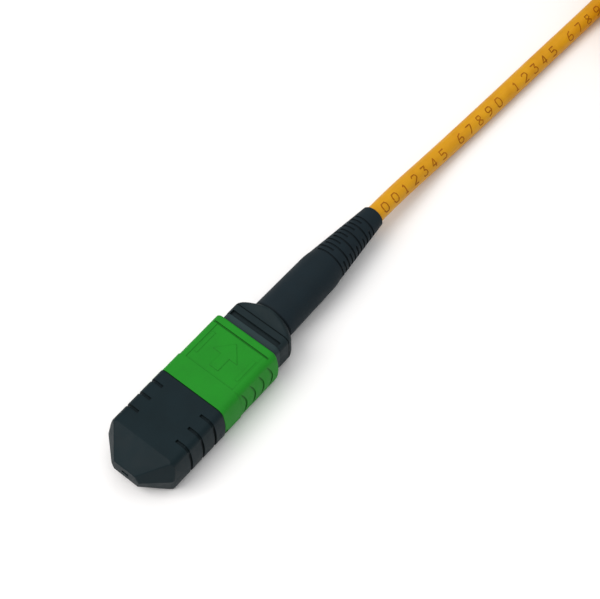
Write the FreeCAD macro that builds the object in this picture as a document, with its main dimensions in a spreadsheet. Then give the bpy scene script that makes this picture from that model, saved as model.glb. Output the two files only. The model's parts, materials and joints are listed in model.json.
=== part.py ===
import FreeCAD, Part
import math
import os

import Sketcher  # noqa: F401  (registers the sketch object)
from FreeCAD import Placement, Rotation, Vector

# Twelve-fibre rectangular push-pull connector on a 3 mm round patch cord, with its
# dust cap on. The mating end points to -Y, the cord leaves to +Y, X is the width and
# +Z is the key side. The same connector ends the cord's other end, and the cord's
# spare length is folded into a tied hank that carries it.
#
# Every connector is drawn in its own coordinates: y = 0 is the seam between the dust
# cap and the green coupling sleeve, and z = 0 is the connector's axis.

doc = FreeCAD.newDocument("fibre_connector")
sheet = doc.addObject("Spreadsheet::Sheet", "dims")

TABLE = [
    # outline shared by the cap and the coupling sleeve
    ("half_width", 6.2), ("half_height", 3.75), ("side_radius", 12.0), ("edge_radius", 1.15),
    # dust cap
    ("cap_half_width", 6.28), ("cap_body", 10.6), ("cap_nose", 4.25), ("seam_gap", 0.26),
    ("tip_half_height", 1.45), ("cheek_x", 6.2), ("cheek_y", 11.62), ("cheek_run", 1.113), ("cheek_lean", 0.448),
    ("cheek_lean_low", 0.22), ("cheek_round", 1.0), ("cheek_round_low", 3.6),
    ("nose_edge", 0.25),
    ("cap_cavity_half", 5.0), ("cap_cavity_height", 2.65), ("cap_cavity_depth", 9.2),
    ("cap_slot_half", 1.7), ("cap_slot_top", 3.2),
    ("chamber_half", 3.4), ("chamber_height", 1.5), ("chamber_depth", 11.7), ("vent_half", 0.6), ("vent_height", 0.32),
    ("grip_first", 2.42), ("grip_pitch", 2.6), ("grip_width", 0.48), ("grip_depth", 0.32), ("grip_start", 3.6),
    # coupling sleeve
    ("shell_start", -0.14), ("shell_length", 12.12), ("shell_bore_half", 5.3), ("shell_bore_height", 3.08), ("shell_front_wall", 0.8),
    ("window_half", 4.95), ("window_height", 2.6), ("slot_half", 1.7), ("slot_top", 3.25),
    ("lip_line", 10.62), ("lip_line_width", 0.28), ("lip_line_depth", 0.22), ("lip_line_half", 5.15),
    ("panel_front", 3.6), ("panel_half", 4.45), ("panel_depth", 0.06),
    ("rear_edge", 0.3),
    ("waist_start", 3.45), ("waist_step", 0.13), ("rib_first", 3.95), ("rib_pitch", 1.93), ("rib_depth", 0.16),
    ("rib_half", 3.1), ("rib_steep", 5.6), ("rib_shallow", 9.5), ("rib_end", 11.3),
    ("notch_depth", 0.55), ("notch_width", 0.9),
    ("seat_inner", 4.2), ("seat_height", 0.55), ("seat_length", 0.6),
    # inner housing
    ("nose_front", 8.5), ("nose_width", 4.8), ("nose_height", 2.45), ("housing_step", 3.5),
    ("housing_half", 5.15), ("housing_height", 2.92), ("housing_rear", 13.45), ("housing_edge", 1.1),
    ("key_half", 1.5), ("key_top", 3.08), ("key_rear", 3.4),
    ("ferrule_window_half", 3.25), ("ferrule_window_height", 1.3), ("ferrule_stop", 3.1),
    ("bore_half", 3.7), ("bore_height", 1.72),
    ("recess_inner", 4.1), ("recess_height", 0.65), ("recess_front", 0.75), ("recess_rear", 8.0),
    ("latch_front", 2.7), ("latch_rear", 1.1), ("latch_depth", 0.5), ("latch_height", 1.5),
    ("snap_front", 10.3), ("snap_rear", 11.7), ("snap_height", 0.8),
    # coupling springs
    ("side_spring_x", 4.72), ("side_spring_radius", 0.45), ("side_wire", 0.1), ("side_spring_front", 1.55),
    ("side_spring_rear", 7.85), ("side_spring_pitch", 0.7),
    # ferrule group
    ("ferrule_half", 3.2), ("ferrule_height", 1.25), ("ferrule_front", 9.1), ("ferrule_rear", 1.1),
    ("flange_half", 3.6), ("flange_height", 1.62), ("flange_front", 3.08), ("face_angle_drop", 0.351),
    ("pin_radius", 0.349), ("pin_bore", 0.35), ("pin_x", 2.3), ("pin_front", 11.3), ("pin_rear", 0.6),
    ("fibre_radius", 0.0625), ("fibre_bore", 0.0635), ("fibre_pitch", 0.25), ("fibre_block", 4.1),
    ("pocket_half", 1.9), ("pocket_height", 0.75),
    ("clamp_front", 1.06), ("clamp_rear", 0.9), ("clamp_boss", 1.5), ("clamp_boss_half", 2.7), ("clamp_boss_height", 0.92),
    ("clamp_window_half", 1.95), ("clamp_window_height", 0.78),
    ("boot_half", 1.87), ("boot_height", 0.72), ("boot_front", 4.05), ("boot_rear", 0.35),
    ("ribbon_half", 1.55), ("ribbon_height", 0.16), ("ribbon_flat_end", 9.5), ("bundle_radius", 0.6),
    ("bundle_start", 14.5), ("bundle_end", 24.3),
    # ferrule spring, an oval of round wire
    ("spring_half", 3.3), ("spring_height", 1.48), ("spring_wire", 0.17), ("spring_front", 1.0), ("spring_rear", 8.45),
    # rear body
    ("post_front", 8.6), ("post_half", 3.62), ("post_height", 1.66), ("neck_half", 4.55), ("neck_height", 2.45),
    ("neck_rear", 14.35), ("flange_half_width", 5.16), ("flange_half_height", 2.93), ("flange_edge", 1.02),
    ("line_front", 15.4), ("line_rear", 15.55), ("line_depth", 0.2), ("post_rear", 17.62),
    ("post_round", 3.5), ("channel_half", 1.75), ("channel_height", 0.8), ("channel_rear", 15.0), ("fibre_bore_radius", 0.9),
    ("barrel_radius", 2.0), ("barrel_rear", 24.2), ("snap_half", 4.6),
    # crimp, yarn and strain relief
    ("crimp_front", 18.5), ("crimp_rear", 24.0), ("crimp_outer", 2.75), ("crimp_inner", 2.37),
    ("yarn_outer", 2.35), ("yarn_inner", 2.02), ("yarn_front", 18.3), ("yarn_turn", 24.3), ("yarn_rear", 28.2),
    ("relief_front", 17.68), ("relief_base", 3.54), ("relief_waist", 3.38), ("relief_waist_y", 28.4), ("relief_end", 42.45),
    ("relief_tip", 1.9), ("relief_bore", 2.85), ("relief_bore_rear", 24.5), ("relief_taper_rear", 29.3), ("relief_throat", 1.56),
    ("slot_first", 30.95), ("slot_second", 31.85), ("slot_pitch", 1.74), ("slot_width", 0.32), ("slot_depth", 0.2),
    # cord
    ("cord_radius", 1.5), ("jacket_front", 28.4), ("jacket_rear", 39.6),
    # row frame
    ("seam_y", -13.8), ("axis_z", 3.75), ("far_x", 2.8), ("far_y", 142.15), ("far_z", 13.2),
    # hank of the spare cord
    ("hank_x", 14.7), ("hank_near", 97.5), ("hank_straight", 45.0), ("hank_outer", 13.7), ("hank_inner", 7.7),
    ("hank_bottom", 0.4), ("hank_top", 9.4), ("hank_edge", 1.35),
    ("tie_thick", 0.4), ("tie_width", 6.0), ("tie_y", 120.0),
]
for row, (alias, value) in enumerate(TABLE, start=1):
    sheet.set("A%d" % row, alias)
    sheet.set("B%d" % row, repr(value))
    sheet.setAlias("B%d" % row, alias)
doc.recompute()
VALUES = dict(TABLE)


class Dim:
    """A length with its value and the expression that gives it."""

    def __init__(self, value, text):
        self.v, self.t = float(value), text

    def __add__(self, o):
        o = as_dim(o)
        return Dim(self.v + o.v, "(%s + %s)" % (self.t, o.t))

    def __sub__(self, o):
        o = as_dim(o)
        return Dim(self.v - o.v, "(%s - %s)" % (self.t, o.t))

    def __rsub__(self, o):
        return as_dim(o) - self

    def __radd__(self, o):
        return as_dim(o) + self

    def __neg__(self):
        return Dim(-self.v, "(0 - %s)" % self.t)

    def __mul__(self, k):
        return Dim(self.v * k, "(%s * %r)" % (self.t, k))

    __rmul__ = __mul__


def as_dim(x):
    return x if isinstance(x, Dim) else Dim(x, repr(float(x)))


def d(alias):
    return Dim(VALUES[alias], "<<dims>>.%s" % alias)


def plane(body, role):
    return [f for f in body.Origin.OriginFeatures if f.Role == role][0]


def bind(obj, prop, dim):
    if "dims" in dim.t:
        obj.setExpression(prop, dim.t)


class Arc:
    """The piece of a loop that follows a point: an arc of this radius, bulging left or
    right of the way round."""

    def __init__(self, radius, left):
        self.r, self.left = as_dim(radius), left


def arc_geometry(p, q, r, left):
    mid, half = (p + q) * 0.5, (q - p) * 0.5
    side = Vector(-half.y, half.x, 0)
    side.normalize()
    rise = math.sqrt(max(r * r - half.Length**2, 0.0))
    centre = mid - side * rise if left else mid + side * rise
    a, b = (
        math.atan2(p.y - centre.y, p.x - centre.x),
        math.atan2(q.y - centre.y, q.x - centre.x),
    )
    # an arc runs anticlockwise from its first angle to its second
    if left:
        a, b = b, a
    while b <= a:
        b += 2 * math.pi
    return Part.ArcOfCircle(Part.Circle(centre, Vector(0, 0, 1), r), a, b)


def sketch(body, role, name, loops, offset=0.0, turn=0.0):
    """A sketch on one of the body's own planes. A loop is a list of points, with an Arc
    after a point where the side that leaves it is curved, or ("circle", x, y, r)."""
    s = body.newObject("Sketcher::SketchObject", name)
    s.AttachmentSupport = [(plane(body, role), "")]
    s.MapMode = "FlatFace"
    offset = as_dim(offset)
    s.AttachmentOffset = Placement(Vector(0, 0, offset.v), Rotation(Vector(0, 1, 0), turn))
    bind(s, "AttachmentOffset.Base.z", offset)

    def fix(kind, geo, pos, dim):
        if abs(dim.v) < 1e-9 and "dims" not in dim.t:
            s.addConstraint(
                Sketcher.Constraint("PointOnObject", geo, pos, -2 if kind == "DistanceX" else -1)
            )
            return
        k = s.addConstraint(Sketcher.Constraint(kind, -1, 1, geo, pos, dim.v))
        bind(s, "Constraints[%d]" % k, dim)

    for loop in loops:
        if loop[0] == "circle":
            x, y, r = (as_dim(k) for k in loop[1:])
            g = s.addGeometry(Part.Circle(Vector(x.v, y.v, 0), Vector(0, 0, 1), r.v), False)
            fix("DistanceX", g, 3, x)
            fix("DistanceY", g, 3, y)
            k = s.addConstraint(Sketcher.Constraint("Radius", g, r.v))
            bind(s, "Constraints[%d]" % k, r)
            continue
        points, arcs = [], []
        for item in loop:
            if isinstance(item, Arc):
                arcs[-1] = item
            else:
                points.append((as_dim(item[0]), as_dim(item[1])))
                arcs.append(None)
        n, ends = len(points), []
        for i in range(n):
            p = Vector(points[i][0].v, points[i][1].v, 0)
            q = Vector(points[(i + 1) % n][0].v, points[(i + 1) % n][1].v, 0)
            if arcs[i] is None:
                g = s.addGeometry(Part.LineSegment(p, q), False)
                ends.append((g, 1, 2))
            else:
                g = s.addGeometry(arc_geometry(p, q, arcs[i].r.v, arcs[i].left), False)
                ends.append((g, 2, 1) if arcs[i].left else (g, 1, 2))
                k = s.addConstraint(Sketcher.Constraint("Radius", g, arcs[i].r.v))
                bind(s, "Constraints[%d]" % k, arcs[i].r)
        for i in range(n):
            g, first, last = ends[i]
            h, start, _ = ends[(i + 1) % n]
            s.addConstraint(Sketcher.Constraint("Coincident", g, last, h, start))
            fix("DistanceX", g, first, points[i][0])
            fix("DistanceY", g, first, points[i][1])
    return s


ROLE = {"x": "YZ_Plane", "y": "XZ_Plane", "z": "XY_Plane"}


def pad(body, name, way, loops, low, high):
    """Material between low and high along one axis."""
    low, high = as_dim(low), as_dim(high)
    s = sketch(body, ROLE[way], name + "_sketch", loops, -high if way == "y" else low)
    f = body.newObject("PartDesign::Pad", name)
    f.Profile = s
    f.Length = high.v - low.v
    bind(f, "Length", high - low)
    s.Visibility = False
    return f


def pocket(body, name, way, loops, low, high):
    """A cut between low and high along one axis."""
    low, high = as_dim(low), as_dim(high)
    s = sketch(body, ROLE[way], name + "_sketch", loops, -low if way == "y" else high)
    f = body.newObject("PartDesign::Pocket", name)
    f.Profile = s
    f.Length = high.v - low.v
    bind(f, "Length", high - low)
    s.Visibility = False
    return f


def revolve(body, name, role, loops, groove=False):
    """Turned about the body's own Y axis, from a profile on the XY plane."""
    s = sketch(body, role, name + "_sketch", loops)
    f = body.newObject("PartDesign::Groove" if groove else "PartDesign::Revolution", name)
    f.Profile = s
    f.ReferenceAxis = (plane(body, "Y_Axis"), [""])
    f.Angle = 360.0
    return f


def row_of(body, name, feature, length, count, way="Y_Axis"):
    f = body.newObject("PartDesign::LinearPattern", name)
    f.Originals = [feature]
    f.Direction = (plane(body, way), [""])
    f.Length = length.v
    bind(f, "Length", length)
    f.Occurrences = count
    body.Tip = f
    return f


def rectangle(x, z, cx=0.0, cz=0.0):
    """Half width x and half height z about a centre."""
    x, z, cx, cz = (as_dim(k) for k in (x, z, cx, cz))
    return [(cx - x, cz - z), (cx + x, cz - z), (cx + x, cz + z), (cx - x, cz + z)]


def box(x0, x1, z0, z1):
    return [(x0, z0), (x1, z0), (x1, z1), (x0, z1)]


def rounded(x, z, r):
    """A rectangle of half width x and half height z with corners of radius r."""
    x, z, r = (as_dim(k) for k in (x, z, r))
    return [
        (-x + r, -z), (x - r, -z), Arc(r, False), (x, -z + r), (x, z - r), Arc(r, False),
        (x - r, z), (-x + r, z), Arc(r, False), (-x, z - r), (-x, -z + r), Arc(r, False),
    ]


def section(half_width):
    """Flat top and bottom, gently bowed sides and rounded corners."""
    a, b, r, e = half_width, d("half_height"), d("side_radius"), d("edge_radius")
    reach = math.sqrt((r.v - e.v) ** 2 - (b.v - e.v) ** 2)
    text = "sqrt((%s - %s) ^ 2 - (%s - %s) ^ 2)" % (r.t, e.t, b.t, e.t)
    x = a - r + Dim(reach, text)
    share = reach / (r.v - e.v)
    px = a - r + Dim(r.v * share, "(%s * %s / (%s - %s))" % (r.t, text, r.t, e.t))
    pz = Dim(r.v * (b.v - e.v) / (r.v - e.v), "(%s * (%s - %s) / (%s - %s))" % (r.t, b.t, e.t, r.t, e.t))
    out = lambda k: Arc(k, False)
    return [
        (-x, -b), (x, -b), out(e), (px, -pz), out(r), (px, pz), out(e), (x, b),
        (-x, b), out(e), (-px, pz), out(r), (-px, -pz), out(e),
    ]


def loft(body, name, kind, stations, ruled=True):
    """Material, or a cut, between sections drawn across Y or Z at given places."""
    made = [sketch(body, role, "%s_%d" % (name, i), loops, at) for i, (role, loops, at) in enumerate(stations)]
    f = body.newObject("PartDesign::" + kind, name)
    f.Profile = made[0]
    f.Sections = made[1:]
    f.Ruled = ruled
    for m in made:
        m.Visibility = False
    return f


def edges_between(feature, low, high, keep=lambda e: True):
    """Names of the edges whose ends and middle all lie between two places along Y."""
    found = []
    for i, e in enumerate(feature.Shape.Edges, start=1):
        ys = [v.Y for v in e.Vertexes] + [e.valueAt((e.FirstParameter + e.LastParameter) / 2).y]
        if min(ys) >= low and max(ys) <= high and keep(e):
            found.append("Edge%d" % i)
    return found


def fillet(body, name, feature, edges, radius):
    f = body.newObject("PartDesign::Fillet", name)
    f.Base = (feature, edges)
    f.Radius = as_dim(radius).v
    bind(f, "Radius", as_dim(radius))
    return f


NODES = []


def piece(label, where):
    body = doc.addObject("PartDesign::Body", label)
    body.Label = label
    place(body, where)
    NODES.append(body)
    return body


def place(obj, where, shift=(0.0, 0.0, 0.0)):
    """where is (x, y, z, turned): the connector's seam centre in the row frame, and
    whether it is turned half a circle about Z. shift is in the connector's own frame."""
    x, y, z, turned = where
    k = -1.0 if turned else 1.0
    sx, sy, sz = (as_dim(v) for v in shift)
    x, y, z = x + sx * k, y + sy * k, z + sz
    obj.Placement = Placement(
        Vector(x.v, y.v, z.v), Rotation(Vector(0, 0, 1), 180.0 if turned else 0.0)
    )
    for axis, dim in (("x", x), ("y", y), ("z", z)):
        bind(obj, "Placement.Base.%s" % axis, dim)


def part_object(kind, label, where=None, shift=(0.0, 0.0, 0.0), keep=True):
    obj = doc.addObject(kind, label)
    obj.Label = label
    if where is not None:
        place(obj, where, shift)
    if keep:
        NODES.append(obj)
    return obj


# ------------------------------------------------------------------ dust cap
def dust_cap(pre, where):
    body = piece(pre + "dust_cap", where)
    rear = -d("seam_gap")
    tip = -(d("cap_body") + d("cap_nose"))
    pad(body, pre + "cap_block", "y", [section(d("cap_half_width"))], tip, rear)
    # the nose: a sloping facet above and below, and two leaning cheeks on each side
    # that meet in a crease at half height
    b, a = d("half_height"), d("cap_half_width")
    y0, zt, run = -d("cap_body"), d("tip_half_height"), d("cap_nose")
    fall = Dim((b.v - zt.v) / run.v, "((%s - %s) / %s)" % (b.t, zt.t, run.t))
    top = [(y0, b), (y0, b + 1.0), (tip - 1.0, b + 1.0), (tip - 1.0, zt - fall), (tip, zt)]
    low = [(y0, -b), (tip, -zt), (tip - 1.0, -zt + fall), (tip - 1.0, -b - 1.0), (y0, -b - 1.0)]
    pocket(body, pre + "cap_slopes", "x", [top, low], -8.0, 8.0)
    slant = VALUES["cheek_run"]
    norm, half_turn = math.hypot(slant, 1.0), math.tan(math.atan(slant) / 2)
    last = None
    for side, k in (("right", 1), ("left", -1)):
        for half, m, lean, blunt in (
            ("upper", 1, VALUES["cheek_lean"], d("cheek_round")),
            ("lower", -1, VALUES["cheek_lean_low"], d("cheek_round_low")),
        ):
            # the cheek runs into the flat side round a broad curve
            stations = []
            for h, radius in ((0.0, d("cheek_round")), (4.5, blunt)):
                x = d("cap_half_width") + 0.03
                y = (x - d("cheek_x") + lean * h) * (1 / slant) - d("cheek_y")
                start = (d("cheek_x") + d("cheek_y") * slant - (16.0 * slant + lean * h), -16.0)
                t = radius * half_turn
                loop = [
                    (start[0] * k, start[1]), ((x - t * (slant / norm)) * k, y - t * (1 / norm)),
                    Arc(radius, k < 0), (x * k, y + t), (10.5 * k, y + t), (10.5 * k, -16.0),
                ]
                stations.append(("XY_Plane", [loop], h * m))
            last = loft(body, pre + "cap_cheek_%s_%s" % (side, half), "SubtractiveLoft", stations)
    doc.recompute()
    tip_y = -(VALUES["cap_body"] + VALUES["cap_nose"])
    # all but the tangent lines where the broad curves start
    soft = edges_between(
        last, tip_y - 0.01, -10.3,
        lambda e: not (e.Length > 3.0 and 5.3 < abs(e.CenterOfMass.x) < 5.6),
    )
    fillet(body, pre + "nose_rounds", last, soft, d("nose_edge"))
    # the hollow for the connector's nose, its key, the ferrule and the pins
    c, h = d("cap_cavity_half"), d("cap_cavity_height")
    s, t = d("cap_slot_half"), d("cap_slot_top")
    pocket(
        body, pre + "cap_hollow", "y",
        [[(-c, -h), (c, -h), (c, h), (s, h), (s, t), (-s, t), (-s, h), (-c, h)]],
        -d("cap_cavity_depth"), 1.0,
    )
    pocket(
        body, pre + "cap_chamber", "y", [rectangle(d("chamber_half"), d("chamber_height"))],
        -d("chamber_depth"), -d("cap_cavity_depth") + 0.5,
    )
    pocket(
        body, pre + "cap_vent", "y", [rectangle(d("vent_half"), d("vent_height"))],
        tip - 1.0, -d("chamber_depth") + 0.5,
    )
    # grip grooves that run out on the flat faces and go round the sides
    g, q = d("grip_start"), d("grip_depth")
    loops = []
    for k in (1, -1):
        loop = [
            (g * k, b + 1.0), (g * k, b - q), ((a - 1.12) * k, b - q), ((a - q - 0.16) * k, b - 1.0),
            ((a - q) * k, 0.0), ((a - q - 0.16) * k, -b + 1.0), ((a - 1.12) * k, -b + q),
            (g * k, -b + q), (g * k, -b - 1.0), ((a + 1.0) * k, -b - 1.0), ((a + 1.0) * k, b + 1.0),
        ]
        loops.append(loop)
    y = -d("grip_first")
    groove = pocket(
        body, pre + "cap_grip", "y", loops, y - d("grip_pitch") * 2 - d("grip_width") * 0.5,
        y - d("grip_pitch") * 2 + d("grip_width") * 0.5,
    )
    row_of(body, pre + "cap_grips", groove, d("grip_pitch") * 2, 3)
    return body


# ------------------------------------------------------------------ coupling sleeve
def outer_shell(pre, where):
    body = piece(pre + "outer_shell", where)
    a, b, end = d("half_width"), d("half_height"), d("shell_length")
    first, pitch, q = d("rib_first"), d("rib_pitch"), d("rib_depth")
    # the grip behind the front collar is a step narrower
    waist, w = d("waist_start"), a - d("waist_step")
    pad(body, pre + "shell_collar", "y", [section(a)], d("shell_start"), waist)
    rear = pad(body, pre + "shell_grip", "y", [section(w)], waist, end)
    doc.recompute()
    rim = edges_between(rear, VALUES["shell_length"] - 0.01, VALUES["shell_length"] + 0.01)
    fillet(body, pre + "shell_rim", rear, rim, d("rear_edge"))
    # crescent-shaped grip grooves of one depth down each bowed side: cut deep, then
    # filled up to an outline a little inside the sleeve's own
    z, steep, shallow = d("rib_half"), d("rib_steep"), d("rib_shallow")
    crescents = []
    for k in range(4):
        y = first + pitch * float(k)
        crescents.append([(y, -z), Arc(steep, False), (y, z), Arc(shallow, True)])
    pocket(body, pre + "shell_crescents_right", "x", crescents, a - 1.2, a + 1.0)
    pocket(body, pre + "shell_crescents_left", "x", crescents, -a - 1.0, -a + 1.2)
    pad(body, pre + "shell_core", "y", [section(w - q)], waist, d("rib_end"))
    # bore, front window with the key's slot
    pocket(
        body, pre + "shell_bore", "y", [rectangle(d("shell_bore_half"), d("shell_bore_height"))],
        d("shell_front_wall"), end + 1.0,
    )
    c, h, s, t = d("window_half"), d("window_height"), d("slot_half"), d("slot_top")
    pocket(
        body, pre + "shell_window", "y",
        [[(-c, -h), (c, -h), (c, h), (s, h), (s, t), (-s, t), (-s, h), (-c, h)]],
        -1.0, d("shell_front_wall") + 0.01,
    )
    # a line across the top and bottom marks off the rear lip
    w = d("lip_line_half")
    for name, z0, z1 in (
        ("top", b - d("lip_line_depth"), b + 1.0),
        ("bottom", -b - 1.0, -b + d("lip_line_depth")),
    ):
        pocket(
            body, pre + "lip_line_" + name, "z",
            [box(-w, w, d("lip_line"), d("lip_line") + d("lip_line_width"))], z0, z1,
        )
    # the shallow panel that carries the pull arrow
    p, y0, y1 = d("panel_half"), d("panel_front"), d("lip_line")
    pocket(
        body, pre + "arrow_panel", "z", [box(-p, p, y0, y1 + 0.05)], b - d("panel_depth"), b + 1.0
    )
    mid = 7.15
    arrow = [
        (-0.8, mid - 2.5), (0.8, mid - 2.5), (0.8, mid), (2.3, mid), (0.0, mid + 2.6),
        (-2.3, mid), (-0.8, mid),
    ]
    pad(body, pre + "arrow", "z", [arrow], b - 0.3, b - 0.015)
    bars = [
        box(x0, x0 + 0.55, mid - 2.1, mid + 2.1) for x0 in (-4.15, 3.6)
    ]
    pad(body, pre + "arrow_bars", "z", bars, b - 0.3, b - 0.03)
    # small notches low on the front edge of each side
    n, m = d("notch_depth"), d("notch_width")
    pocket(
        body, pre + "front_notches", "y",
        [
            [(a - 0.5, -b + 1.0), (a + 1.0, -b + 1.0), (a + 1.0, -b + 1.0 + m), (a - 0.5, -b + 1.0 + m)],
            [(-a + 0.5, -b + 1.0), (-a + 0.5, -b + 1.0 + m), (-a - 1.0, -b + 1.0 + m), (-a - 1.0, -b + 1.0)],
        ],
        -1.0, n,
    )
    # inner seats that the two side springs push on
    seats = []
    for k in (1, -1):
        x0, x1, z = d("seat_inner"), d("shell_bore_half") + 0.3, d("seat_height")
        loop = [(x0 * k, -z), (x1 * k, -z), (x1 * k, z), (x0 * k, z)]
        seats.append(loop)
    pad(
        body, pre + "spring_seats", "y", seats, d("shell_front_wall"),
        d("shell_front_wall") + d("seat_length"),
    )
    return body


# ------------------------------------------------------------------ inner housing
def inner_housing(pre, where):
    body = piece(pre + "inner_housing", where)
    step, rear = d("housing_step"), d("housing_rear")
    pad(
        body, pre + "housing_nose", "y", [rounded(d("nose_width"), d("nose_height"), 0.35)],
        -d("nose_front"), step + 0.2,
    )
    pad(
        body, pre + "housing_body", "y",
        [rounded(d("housing_half"), d("housing_height"), d("housing_edge"))], step, rear,
    )
    pad(
        body, pre + "key", "y",
        [box(-d("key_half"), d("key_half"), d("nose_height") - 0.4, d("key_top"))],
        -d("nose_front") + 0.3, d("key_rear") + 0.2,
    )
    pocket(
        body, pre + "ferrule_window", "y",
        [rectangle(d("ferrule_window_half"), d("ferrule_window_height"))],
        -d("nose_front") - 1.0, -d("ferrule_stop") + 0.01,
    )
    pocket(
        body, pre + "housing_bore", "y", [rectangle(d("bore_half"), d("bore_height"))],
        -d("ferrule_stop"), rear + 1.0,
    )
    for k, side in ((1, "right"), (-1, "left")):
        x0, x1 = d("recess_inner") * k, d("housing_half") * k + 1.0 * k
        lo, hi = (x0, x1) if k == 1 else (x1, x0)
        z = d("recess_height")
        pocket(
            body, pre + "spring_recess_" + side, "x",
            [box(d("recess_front"), d("recess_rear"), -z, z)], lo, hi,
        )
        # pocket behind which an adapter's hook latches
        x0, x1 = (d("nose_width") - d("latch_depth")) * k, (d("nose_width") + 1.0) * k
        lo, hi = (x0, x1) if k == 1 else (x1, x0)
        z = d("latch_height")
        pocket(
            body, pre + "latch_pocket_" + side, "x",
            [box(-d("latch_front"), -d("latch_rear"), -z, z)], lo, hi,
        )
        # window for the rear body's snap lug
        x0, x1 = (d("bore_half") - 0.2) * k, (d("housing_half") + 1.0) * k
        lo, hi = (x0, x1) if k == 1 else (x1, x0)
        z = d("snap_height")
        pocket(
            body, pre + "snap_window_" + side, "x",
            [box(d("snap_front"), d("snap_rear"), -z, z)], lo, hi,
        )
    return body


# ------------------------------------------------------------------ side springs
def coupling_spring(pre, side, where):
    k = 1.0 if side == "right" else -1.0
    name = pre + "coupling_spring_" + side
    length = d("side_spring_rear") - d("side_spring_front")
    helix = doc.addObject("Part::Helix", name + "_helix")
    bind(helix, "Radius", d("side_spring_radius"))
    bind(helix, "Pitch", d("side_spring_pitch"))
    bind(helix, "Height", length)
    helix.Placement = Placement(Vector(0, 0, 0), Rotation())
    wire = doc.addObject("Part::Circle", name + "_wire")
    bind(wire, "Radius", d("side_wire"))
    wire.Placement = Placement(
        Vector(VALUES["side_spring_radius"], 0, 0), Rotation(Vector(1, 0, 0), 90)
    )
    bind(wire, "Placement.Base.x", d("side_spring_radius"))
    coil = doc.addObject("Part::Sweep", name)
    coil.Label = name
    coil.Sections = [wire]
    coil.Spine = (helix, [])
    coil.Solid = True
    coil.Frenet = True
    # the helix rises along Z and the spring lies along Y
    x, y, z, turned = where
    flip = -1.0 if turned else 1.0
    base = (x + d("side_spring_x") * (k * flip), y + d("side_spring_front") * flip, z)
    turn = Rotation(Vector(0, 0, 1), 180.0 if turned else 0.0).multiply(
        Rotation(Vector(1, 0, 0), -90)
    )
    coil.Placement = Placement(Vector(*(v.v for v in base)), turn)
    for axis, dim in zip("xyz", base):
        bind(coil, "Placement.Base.%s" % axis, dim)
    NODES.append(coil)
    return coil


# ------------------------------------------------------------------ ferrule group
def mt_ferrule(pre, where):
    body = piece(pre + "mt_ferrule", where)
    front, rear = -d("ferrule_front"), -d("ferrule_rear")
    pad(
        body, pre + "ferrule_block", "y",
        [rounded(d("ferrule_half"), d("ferrule_height"), 0.2)], front, rear,
    )
    pad(
        body, pre + "ferrule_flange", "y",
        [rounded(d("flange_half"), d("flange_height"), 0.25)], -d("flange_front"), rear,
    )
    # the end face leans 8 degrees about X, furthest forward at the bottom
    h, drop = d("ferrule_height"), d("face_angle_drop")
    pocket(
        body, pre + "angled_face", "x",
        [[(front - 1.0, -h - 0.0), (front, -h), (front + drop, h), (front + drop, h + 0.5), (front - 1.0, h + 0.5)]],
        -5.0, 5.0,
    )
    pocket(
        body, pre + "pin_bores", "y",
        [("circle", d("pin_x"), 0.0, d("pin_bore")), ("circle", -d("pin_x"), 0.0, d("pin_bore"))],
        front - 1.0, rear + 1.0,
    )
    pocket(
        body, pre + "boot_pocket", "y", [rectangle(d("pocket_half"), d("pocket_height"))],
        -d("fibre_block"), rear + 1.0,
    )
    hole = pocket(
        body, pre + "fibre_bore", "y", [("circle", -d("fibre_pitch") * 5.5, 0.0, d("fibre_bore"))],
        front - 1.0, -d("fibre_block") + 0.1,
    )
    row_of(body, pre + "fibre_bores", hole, d("fibre_pitch") * 11, 12, "X_Axis")
    # the window through which the fibres are bonded
    pocket(
        body, pre + "bond_window", "z", [box(-1.6, 1.6, front + 2.4, front + 3.6)], 0.3, h + 1.0
    )
    return body


def guide_pin(pre, side, where):
    k = 1.0 if side == "right" else -1.0
    body = piece(pre + "guide_pin_" + side, where)
    place(body, where, (d("pin_x") * k, 0.0, 0.0))
    r, y0, y1 = d("pin_radius"), -d("pin_front"), d("pin_rear")
    revolve(
        body, pre + "pin_" + side, "XY_Plane",
        [[
            (0.0, y0), (r - 0.2, y0), (r, y0 + 0.45), (r, y1 - 0.75), (r - 0.09, y1 - 0.7),
            (r - 0.09, y1 - 0.4), (r, y1 - 0.35), (r, y1 - 0.06), (r - 0.06, y1), (0.0, y1),
        ]],
    )
    return body


def pin_clamp(pre, where):
    body = piece(pre + "pin_clamp", where)
    pad(
        body, pre + "clamp_block", "y",
        [rounded(d("flange_half"), d("flange_height"), 0.25)], -d("clamp_front"), d("clamp_rear"),
    )
    pad(
        body, pre + "clamp_boss", "y",
        [rounded(d("clamp_boss_half"), d("clamp_boss_height"), 0.4)], d("clamp_rear") - 0.1, d("clamp_boss"),
    )
    pocket(
        body, pre + "clamp_window", "y",
        [rectangle(d("clamp_window_half"), d("clamp_window_height"))], -2.0, 3.0,
    )
    pocket(
        body, pre + "clamp_pins", "y",
        [("circle", d("pin_x"), 0.0, d("pin_radius") + 0.004), ("circle", -d("pin_x"), 0.0, d("pin_radius") + 0.004)],
        -2.0, d("pin_rear") + 0.02,
    )
    return body


def ferrule_boot(pre, where):
    body = piece(pre + "ferrule_boot", where)
    pad(
        body, pre + "ferrule_boot_block", "y",
        [rounded(d("boot_half"), d("boot_height"), 0.3)], -d("boot_front"), d("boot_rear"),
    )
    pocket(
        body, pre + "ferrule_boot_slot", "y",
        [rectangle(d("ribbon_half") + 0.02, d("ribbon_height") + 0.02)], -6.0, 2.0,
    )
    return body


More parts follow.
